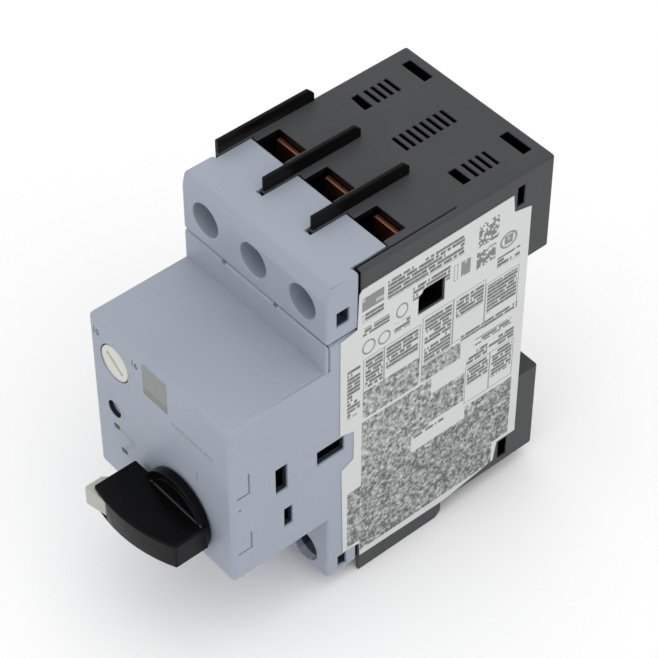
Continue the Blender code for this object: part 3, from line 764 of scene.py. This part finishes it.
def slotted_disc(radius: float, height: float, slot: tuple[float, float], depth: float,
                 rim: float, steps: int = 64) -> bmesh.types.BMesh:
    """Make a disc with a screwdriver slot in its top.

    Args:
        radius: The disc's radius in millimetres.
        height: How far it reaches below its top.
        slot: The slot's length and width.
        depth: The slot's depth.
        rim: The radius of the rounded rim.
        steps: How many sides the disc has.

    Returns:
        The shape, its top at Z 0 and looking up.
    """
    mesh = bmesh.new()
    bmesh.ops.create_circle(mesh, cap_ends=True, radius=radius * MM, segments=steps)
    for axis, half in ((Vector((1, 0, 0)), slot[0] / 2), (Vector((0, 1, 0)), slot[1] / 2)):
        for side in (-1, 1):
            bmesh.ops.bisect_plane(mesh, geom=mesh.verts[:] + mesh.edges[:] + mesh.faces[:],
                                   dist=WELD / 10, plane_co=axis * side * half * MM, plane_no=axis)
    floor = [face for face in mesh.faces
             if abs(face.calc_center_median().x) < slot[0] / 2 * MM
             and abs(face.calc_center_median().y) < slot[1] / 2 * MM]
    slope = 0.06
    bmesh.ops.inset_region(mesh, faces=floor, thickness=slope * MM, depth=-depth * MM,
                           use_even_offset=True, use_boundary=True)
    edge = [item for item in mesh.edges if item.is_boundary]
    wall = bmesh.ops.extrude_edge_only(mesh, edges=edge)
    lowered = [item for item in wall["geom"] if isinstance(item, bmesh.types.BMVert)]
    bmesh.ops.translate(mesh, verts=lowered, vec=(0, 0, -height * MM))
    bottom = [item for item in mesh.edges if item.is_boundary]
    bmesh.ops.holes_fill(mesh, edges=bottom, sides=0)
    bmesh.ops.recalc_face_normals(mesh, faces=mesh.faces)
    top = [item for item in edge if item.is_valid]
    bmesh.ops.bevel(mesh, geom=top, offset=rim * MM, offset_type="OFFSET", segments=3,
                    profile=0.5, affect="EDGES", clamp_overlap=True, material=-1)
    return mesh


def turned(points: Profile, steps: int) -> bmesh.types.BMesh:
    """Spin a closed profile round the Z axis.

    Args:
        points: Radius and height pairs in millimetres, going round the section.
        steps: How many sides the shape has.

    Returns:
        The shape.
    """
    mesh = bmesh.new()
    ring = [mesh.verts.new((radius * MM, 0, height * MM)) for radius, height in points]
    edges = [mesh.edges.new(pair) for pair in zip(ring, ring[1:] + ring[:1])]
    bmesh.ops.spin(mesh, geom=ring + edges, cent=(0, 0, 0), axis=(0, 0, 1), dvec=(0, 0, 0),
                   angle=2 * math.pi, steps=steps, use_merge=True)
    bmesh.ops.remove_doubles(mesh, verts=mesh.verts, dist=WELD)
    bmesh.ops.recalc_face_normals(mesh, faces=mesh.faces)
    return mesh


def wound(radius: float, wire: float, length: float, turns: float) -> bmesh.types.BMesh:
    """Wind a coil spring up the Z axis from Z 0.

    Args:
        radius: The coil's mean radius in millimetres.
        wire: The wire's thickness.
        length: The spring's length over its ends.
        turns: How many turns it has.

    Returns:
        The shape.
    """
    steps = 24
    mesh = bmesh.new()
    bmesh.ops.create_circle(mesh, cap_ends=False, radius=wire / 2 * MM, segments=10)
    bmesh.ops.rotate(mesh, verts=mesh.verts, matrix=Matrix.Rotation(math.pi / 2, 3, "X"))
    bmesh.ops.translate(mesh, verts=mesh.verts, vec=(radius * MM, 0, wire / 2 * MM))
    count = int(turns * steps)
    climb = (length - wire) * MM / count
    bmesh.ops.spin(mesh, geom=mesh.verts[:] + mesh.edges[:], cent=(0, 0, 0), axis=(0, 0, 1),
                   dvec=(0, 0, climb), angle=2 * math.pi * turns, steps=count, use_merge=False)
    bmesh.ops.holes_fill(mesh, edges=[edge for edge in mesh.edges if edge.is_boundary], sides=0)
    bmesh.ops.recalc_face_normals(mesh, faces=mesh.faces)
    return mesh


def pad(width: float, height: float, thick: float, corner: float) -> bmesh.types.BMesh:
    """Make a thin plate with rounded corners, looking up Z, its back at Z 0.

    Args:
        width: Its width in millimetres.
        height: Its height.
        thick: Its thickness.
        corner: The radius of its corners.

    Returns:
        The shape.
    """
    mesh = bmesh.new()
    bmesh.ops.create_grid(mesh, x_segments=1, y_segments=1, size=0.5)
    bmesh.ops.scale(mesh, verts=mesh.verts, vec=(width * MM, height * MM, 1))
    bmesh.ops.bevel(mesh, geom=mesh.verts[:], offset=corner * MM, offset_type="OFFSET",
                    segments=3, profile=0.5, affect="VERTICES", clamp_overlap=True, material=-1)
    raised = bmesh.ops.extrude_face_region(mesh, geom=mesh.faces[:])
    top = [item for item in raised["geom"] if isinstance(item, bmesh.types.BMVert)]
    bmesh.ops.translate(mesh, verts=top, vec=(0, 0, thick * MM))
    bmesh.ops.recalc_face_normals(mesh, faces=mesh.faces)
    return mesh


def centre_of(node: str) -> Vector:
    """Return the middle of a CAD node's box."""
    low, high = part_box(node)
    return (low + high) / 2


def front_of(node: str) -> Vector:
    """Return the middle of the front of a CAD node's box."""
    low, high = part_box(node)
    return Vector(((low.x + high.x) / 2, low.y, (low.z + high.z) / 2))


# ------------------------------------------------------------ sub-assemblies

@dataclass
class Housing:
    """The black rear base and the two blue-grey covers."""

    base_edge: float = 0.22
    cover_edge: float = 0.28

    def build(self) -> None:
        """Build the three housings."""
        refine("rear_base", "rear_housing", BASE_BLACK, "housing", self.base_edge)
        refine("terminal_cover", "line_cover", GREY, "housing", self.cover_edge, 3)
        refine("front_cover", "nose_cover", GREY, "housing", self.cover_edge, 3)


@dataclass
class RatingLabel:
    """The printed film on the right side."""

    def dress(self) -> None:
        """Give the label's CAD node its printed finish."""
        low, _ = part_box("rating_label")
        dress_node("rating_label", PrintedFilm((low.y, low.z)))


@dataclass
class RotaryHandle:
    """The knob with its ridged skirt, and the ivory padlock tab.

    The root is the pale line at the handle's foot, a painted highlight: its length, width and
    thickness.
    """

    edge: float = 0.3
    tab_edge: float = 0.2
    ridge_radius: float = 8.3
    ridge_width: float = 0.45
    ridge_height: float = 0.3
    skirt_front: float = 2.4
    root_size: tuple[float, float, float] = (16.6, 0.34, 0.2)
    root_corner: float = 0.15
    root_height: float = 3.52
    axis: Vector = field(default_factory=lambda: centre_of("knob_shaft"))

    def on_skirt(self, up: float) -> Vector:
        """Return a place on the skirt's front, so many millimetres above the knob's axis."""
        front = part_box("front_cover")[0].y - self.skirt_front * MM
        return Vector((self.axis.x, front, self.axis.z + up * MM))

    def ridge(self) -> None:
        """Add the raised ring on the front of the skirt, narrower at its crest."""
        foot = self.ridge_width / 2
        crest, sunk = foot * 0.6, 0.2
        shape = turned([(self.ridge_radius - foot, -sunk), (self.ridge_radius + foot, -sunk),
                        (self.ridge_radius + crest, self.ridge_height),
                        (self.ridge_radius - crest, self.ridge_height)], 96)
        facing_front(shape, self.on_skirt(0.0))
        add_piece("skirt_ridge", shape, KNOB_BLACK, "knob_body")

    def root(self) -> None:
        """Add the pale line, a painted highlight, where the handle meets the skirt."""
        shape = pad(*self.root_size, self.root_corner)
        facing_front(shape, self.on_skirt(self.root_height))
        add_piece("handle_root", shape, EDGE_HIGHLIGHT, "knob_body")

    def build(self) -> None:
        """Build the knob, the tab, the ridge and the painted highlight line."""
        refine("knob", "rotary_knob", KNOB_BLACK, "knob_body", self.edge, 3)
        refine("lock_tab", "padlock_tab", IVORY, "lock_slide", self.tab_edge)
        self.ridge()
        self.root()


@dataclass
class SettingDial:
    """The slotted ivory dial that sets the current, with its hub and its collar.

    Profiles are radius and height pairs. The slot is its length and width.
    """

    radius: float = 4.3
    height: float = 3.0
    slot: tuple[float, float] = (6.0, 1.1)
    slot_depth: float = 0.7
    rim: float = 0.35
    turn: float = 35.0
    hub: Profile = ((0.0, 0.0), (1.1, 0.0), (1.0, 0.12), (0.0, 0.18))
    hub_depth: float = 0.55
    collar: Profile = ((0.0, -12.5), (2.0, -12.5), (2.0, -3.8), (5.1, -3.8), (5.1, -2.9),
                       (0.0, -2.9))

    def build(self) -> None:
        """Build the dial."""
        centre = front_of("setting_dial")
        shape = slotted_disc(self.radius, self.height, self.slot, self.slot_depth, self.rim)
        facing_front(shape, centre)
        bmesh.ops.rotate(shape, verts=shape.verts, cent=centre,
                         matrix=Matrix.Rotation(math.radians(self.turn), 3, "Y"))
        add_piece("current_dial", shape, DIAL_IVORY, "dial", ("setting_dial",))
        hub = turned(self.hub, 32)
        facing_front(hub, centre + Vector((0, self.hub_depth * MM, 0)))
        add_piece("dial_hub", hub, IVORY, "dial")
        collar = turned(self.collar, 48)
        facing_front(collar, centre)
        add_piece("dial_collar", collar, IVORY, "dial")


@dataclass(frozen=True)
class Lining:
    """A ring that lines the test hole, between two depths under the nose's front."""

    name: str
    finish: Finish
    radius: float
    near: float
    far: float


@dataclass
class TestButton:
    """The slotted test button and what lines its hole.

    The stem's profile is radius and height pairs. The slot is its length and width, and
    the hole is its radius inside the lining.
    """

    radius: float = 2.45
    height: float = 3.6
    slot: tuple[float, float] = (3.2, 0.8)
    slot_depth: float = 0.5
    rim: float = 0.25
    stem: Profile = ((0.0, -8.9), (2.4, -8.9), (2.4, -5.3), (3.5, -5.3), (3.5, -3.8),
                     (2.4, -3.8), (2.4, -3.5), (0.0, -3.5))
    hole: float = 2.15
    linings: tuple[Lining, ...] = (
        Lining("test_lip", GREY, 3.05, -0.04, 0.1),
        # Painted shade: a black ring that stands in for the shadow inside the test hole.
        Lining("test_hole_shade", BLACK, 2.69, 0.12, 1.05),
    )

    def button(self, centre: Vector) -> None:
        """Build the button and its stem."""
        shape = slotted_disc(self.radius, self.height, self.slot, self.slot_depth, self.rim, 48)
        facing_front(shape, centre)
        add_piece("test_plunger", shape, BUTTON, "test", ("test_button",))
        stem = turned(self.stem, 40)
        facing_front(stem, centre)
        add_piece("test_stem", stem, BUTTON, "test")

    def line_hole(self, lining: Lining, centre: Vector) -> None:
        """Build one ring of the lining."""
        ring = turned([(self.hole, -lining.near), (lining.radius, -lining.near),
                       (lining.radius, -lining.far), (self.hole, -lining.far)], 48)
        facing_front(ring, centre)
        add_piece(lining.name, ring, lining.finish, "housing")

    def build(self) -> None:
        """Build the button, the grey lip of its hole, and a black sleeve that paints the shade
        inside the hole.
        """
        centre = front_of("test_button")
        self.button(centre)
        mouth = Vector((centre.x, front_of("front_cover").y, centre.z))
        for lining in self.linings:
            self.line_hole(lining, mouth)


@dataclass
class Markings:
    """The dial's scale, the blank badge, the signs printed on the nose and the painted shade of two
    grooves.

    Places are millimetres to the right of the nose's middle and above a line just over
    the test button's middle. Angles are in degrees.
    """

    line_over_button: float = 1.2
    ink: float = 0.03
    stroke: float = 0.02
    number_size: float = 2.2
    sign_size: float = 3.4
    tick_count: int = 7
    tick_first: float = -30.0
    tick_step: float = 40.0
    tick_reach: float = 5.6
    tick_size: tuple[float, float] = (0.7, 0.2)
    tick_corner: float = 0.05
    dash_count: int = 9
    dash_step: float = 1.5

    def on_front(self, across: float, up: float) -> Vector:
        """Return a place on the nose's front."""
        nose = front_of("front_cover")
        base = front_of("test_button").z + self.line_over_button * MM
        return Vector((nose.x + across * MM, nose.y, base + up * MM))

    def mark(self, name: str, across: float, up: float, width: float, height: float,
             finish: Finish, turn: float, corner: float, level: float = 1.0) -> None:
        """Add one printed mark.

        Args:
            name: The piece's name.
            across: The place of its middle, to the right.
            up: The place of its middle, upward.
            width: Its width.
            height: Its height.
            finish: Its ink.
            turn: How far it is turned.
            corner: The radius of its corners.
            level: How many layers of ink it has, so that one mark can lie over another.
        """
        shape = pad(width, height, self.ink * level, corner)
        bmesh.ops.rotate(shape, verts=shape.verts,
                         matrix=Matrix.Rotation(math.radians(turn), 3, "Z"))
        facing_front(shape, self.on_front(across, up))
        add_piece(name, shape, finish, "housing")

    def letters(self, name: str, text: str, across: float, up: float, size: float,
                finish: Finish) -> None:
        """Add a generic number or switch sign, drawn large and then reduced.

        Args:
            name: The piece's name.
            text: What it says.
            across: The place of its middle, to the right.
            up: The place of its middle, upward.
            size: The size of the letters.
            finish: Its ink.
        """
        curve = bpy.data.curves.new(name, "FONT")
        curve.body = text
        curve.align_x = "CENTER"
        curve.align_y = "CENTER"
        curve.extrude = self.ink / size / 2
        curve.offset = self.stroke
        drawn = linked(name, curve)
        bpy.context.view_layer.update()
        mesh = bmesh.new()
        mesh.from_mesh(bpy.data.meshes.new_from_object(drawn))
        bpy.data.objects.remove(drawn)
        bmesh.ops.remove_doubles(mesh, verts=mesh.verts, dist=0.0001)
        bmesh.ops.scale(mesh, verts=mesh.verts, vec=(size * MM,) * 3)
        facing_front(mesh, self.on_front(across, up))
        add_piece(name, mesh, finish, "housing")

    def scale(self) -> None:
        """Print the dial's ticks and its two end numbers."""
        dial = centre_of("setting_dial")
        origin = self.on_front(0, 0)
        across, up = (dial.x - origin.x) / MM, (dial.z - origin.z) / MM
        for index in range(self.tick_count):
            angle = math.radians(self.tick_first + self.tick_step * index)
            self.mark(f"dial_tick_{index}", across + self.tick_reach * math.cos(angle),
                      up + self.tick_reach * math.sin(angle), *self.tick_size, FAINT_INK,
                      math.degrees(angle), self.tick_corner)
        self.letters("dial_number_low", "10", -20.3, 18.4, self.number_size, DARK_INK)
        self.letters("dial_number_high", "16", -7.6, 18.6, self.number_size, DARK_INK)

    def badge(self) -> None:
        """Print the blank badge with its band and the row of dashes under it."""
        self.mark("badge", -1.0, 17.9, 7.9, 6.8, BADGE_INK, 0.0, 0.3)
        self.mark("badge_band", -1.0, 13.5, 7.9, 1.9, BAND_INK, 0.0, 0.2)
        for index in range(self.dash_count):
            width = 1.0 + index % 3 * 0.15
            self.mark(f"type_dash_{index}", 4.4 + index * self.dash_step, 11.0, width, 0.9,
                      FAINT_INK, 0.0, 0.2)

    def signs(self) -> None:
        """Print the switch sign and the two dots, and paint the shade of the two grooves beside the
        knob as flat strokes.
        """
        self.letters("sign_on", "I", 11.6, 1.5, self.sign_size, FAINT_INK)
        # Painted shade of the two grooves, drawn as flat strokes.
        self.mark("chevron_upper", -12.4, -6.6, 5.4, 1.1, GROOVE_SHADE, -6.0, 0.3)
        self.mark("chevron_lower", -11.5, -9.3, 5.8, 1.1, GROOVE_SHADE, 52.0, 0.3, 1.4)
        self.mark("chevron_dot", -15.5, -6.3, 1.9, 1.3, DARK_INK, 10.0, 0.3, 1.8)
        self.mark("chevron_end", -13.4, -12.3, 1.9, 1.3, DARK_INK, 10.0, 0.3, 1.8)

    def build(self) -> None:
        """Print all that is on the nose's front, and paint the shade of its grooves."""
        self.scale()
        self.badge()
        self.signs()


@dataclass
class Terminals:
    """The clamps, screws and copper bars of both rows."""

    bar_edge: float = 0.12
    washer_edge: float = 0.15
    screw_edge: float = 0.1

    def build(self) -> None:
        """Build both rows."""
        for row in ROWS:
            for pole in POLES:
                refine(f"{row}_terminal_bar_{pole}", f"{row}_bar_{pole}", COPPER, "housing",
                       self.bar_edge)
                refine(f"{row}_clamp_washer_{pole}", f"{row}_washer_{pole}", PLATED,
                       f"{row}_clamp_{pole}", self.washer_edge)
                refine(f"{row}_terminal_screw_{pole}", f"{row}_screw_head_{pole}", PLATED,
                       f"{row}_screw_{pole}", self.screw_edge)


@dataclass
class Springs:
    """The two springs that a moving part presses."""

    clip_wire: float = 0.5
    clip_turns: float = 7
    clip_travel: float = 3.0
    test_wire: float = 0.5
    test_turns: float = 4
    test_travel: float = 1.5

    def clip(self) -> None:
        """Wind the spring behind the rail clip."""
        low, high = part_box("rail_clip_spring")
        length = (high.z - low.z) / MM
        radius = (high.x - low.x) / 2 / MM - self.clip_wire / 2
        shape = wound(radius, self.clip_wire, length, self.clip_turns)
        base = Vector(((low.x + high.x) / 2, (low.y + high.y) / 2, low.z))
        bmesh.ops.translate(shape, verts=shape.verts, vec=base)
        piece = add_piece("clip_spring", shape, SPRING, "housing", ("rail_clip_spring",))
        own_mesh(piece)

    def test(self) -> None:
        """Wind the spring behind the test button."""
        low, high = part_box("test_spring")
        length = (high.y - low.y) / MM
        radius = (high.x - low.x) / 2 / MM - self.test_wire / 2
        shape = wound(radius, self.test_wire, length, self.test_turns)
        base = Vector(((low.x + high.x) / 2, high.y, (low.z + high.z) / 2))
        facing_front(shape, base)
        piece = add_piece("button_spring", shape, SPRING, "housing", ("test_spring",))
        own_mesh(piece)

    def build(self) -> None:
        """Wind both springs."""
        self.clip()
        self.test()


@dataclass
class Internals:
    """The parts inside the case, which keep their CAD shapes."""

    single: dict[str, Finish] = field(default_factory=lambda: {
        "knob_shaft": STEEL, "mechanism_frame": STEEL, "toggle_lever": STEEL,
        "main_spring": SPRING, "trip_bar": RED, "contact_carrier": BLACK})
    per_pole: dict[str, Finish] = field(default_factory=lambda: {
        "moving_contact": SILVER, "contact_spring": SPRING, "arc_chute": STEEL,
        "magnet_coil": COPPER, "magnet_core": STEEL, "bimetal": SILVER})

    def dress(self) -> None:
        """Give every inner CAD node its finish."""
        finishes = dict(self.single)
        for name, finish in self.per_pole.items():
            finishes.update({f"{name}_{pole}": finish for pole in POLES})
        for name, finish in finishes.items():
            dress_node(name, finish)


@dataclass
class RailClip:
    """The slide that holds the rail's lower edge."""

    edge: float = 0.2

    def build(self) -> None:
        """Build the clip."""
        refine("rail_clip", "rail_slide", IVORY, "clip", self.edge)


@dataclass(frozen=True)
class Lamp:
    """A square soft light: where it hangs in degrees, its side in metres, its watts."""

    name: str
    azimuth: float
    elevation: float
    size: float
    power: float


@dataclass
class Studio:
    """The floor, the soft lights and the camera.

    Angles are in degrees, the aim and the distance in millimetres, and the floor's side
    and the lamps' reach in metres.
    """

    azimuth: float = 49.39
    elevation: float = 45.858
    distance: float = 521.6
    lens: float = 138.65
    aim: tuple[float, float, float] = (5.642, -40.1, 10.183)
    floor_size: float = 6.0
    world_light: float = 0.88
    lamp_reach: float = 1.4
    lamps: tuple[Lamp, ...] = (
        Lamp("top_light", 60.0, 78.0, 1.2, 4.5),
        Lamp("side_light", 95.0, 35.0, 1.0, 1.2),
        Lamp("front_light", 5.0, 30.0, 1.0, 0.6),
    )

    def floor(self, height: float) -> None:
        """Lay the floor under the object."""
        mesh = bmesh.new()
        bmesh.ops.create_grid(mesh, x_segments=1, y_segments=1, size=self.floor_size / 2)
        bmesh.ops.translate(mesh, verts=mesh.verts, vec=(0, 0, height))
        data = bpy.data.meshes.new("studio_floor")
        mesh.to_mesh(data)
        mesh.free()
        data.materials.append(PaleFloor().material())
        sheet = linked("studio_floor", data)
        sheet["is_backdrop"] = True

    def light(self, lamp: Lamp) -> None:
        """Hang a light that looks at the object."""
        data = bpy.data.lights.new(lamp.name, "AREA")
        data.shape = "SQUARE"
        data.size = lamp.size
        data.energy = lamp.power
        holder = linked(lamp.name, data)
        back = self.direction(lamp.azimuth, lamp.elevation)
        holder.location = back * self.lamp_reach
        holder.rotation_euler = back.to_track_quat("Z", "Y").to_euler()

    def direction(self, azimuth: float, elevation: float) -> Vector:
        """Return the way from the object to something at these angles, in degrees."""
        turn, rise = math.radians(azimuth), math.radians(elevation)
        return Vector((math.sin(turn) * math.cos(rise), -math.cos(turn) * math.cos(rise),
                       math.sin(rise)))

    def sky(self) -> None:
        """Fill the surroundings with an even white."""
        world = bpy.data.worlds.new("studio_world")
        world.use_nodes = True
        shade = world.node_tree.nodes["Background"]
        shade.inputs["Color"].default_value = (1.0, 1.0, 1.0, 1.0)
        shade.inputs["Strength"].default_value = self.world_light
        bpy.context.scene.world = world

    def camera(self) -> None:
        """Place the camera."""
        data = bpy.data.cameras.new("studio_camera")
        data.sensor_width = 36.0
        data.lens = self.lens
        holder = linked("studio_camera", data)
        back = self.direction(self.azimuth, self.elevation)
        holder.location = Vector(self.aim) * MM + back * self.distance * MM
        holder.rotation_euler = back.to_track_quat("Z", "Y").to_euler()
        bpy.context.scene.camera = holder

    def build(self, height: float) -> None:
        """Build the studio round an object that stands at a height."""
        bpy.context.scene.view_settings.view_transform = "Standard"
        self.floor(height)
        for lamp in self.lamps:
            self.light(lamp)
        self.sky()
        self.camera()


def main() -> None:
    """Build every sub-assembly round the frame."""
    logging.basicConfig(level=logging.INFO, format="%(name)s: %(message)s")
    cad = [list(corner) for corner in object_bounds()]
    Housing().build()
    RatingLabel().dress()
    RotaryHandle().build()
    SettingDial().build()
    TestButton().build()
    Markings().build()
    Terminals().build()
    Springs().build()
    Internals().dress()
    RailClip().build()
    Studio().build(cad[0][2])
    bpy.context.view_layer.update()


if __name__ == "__main__":
    main()
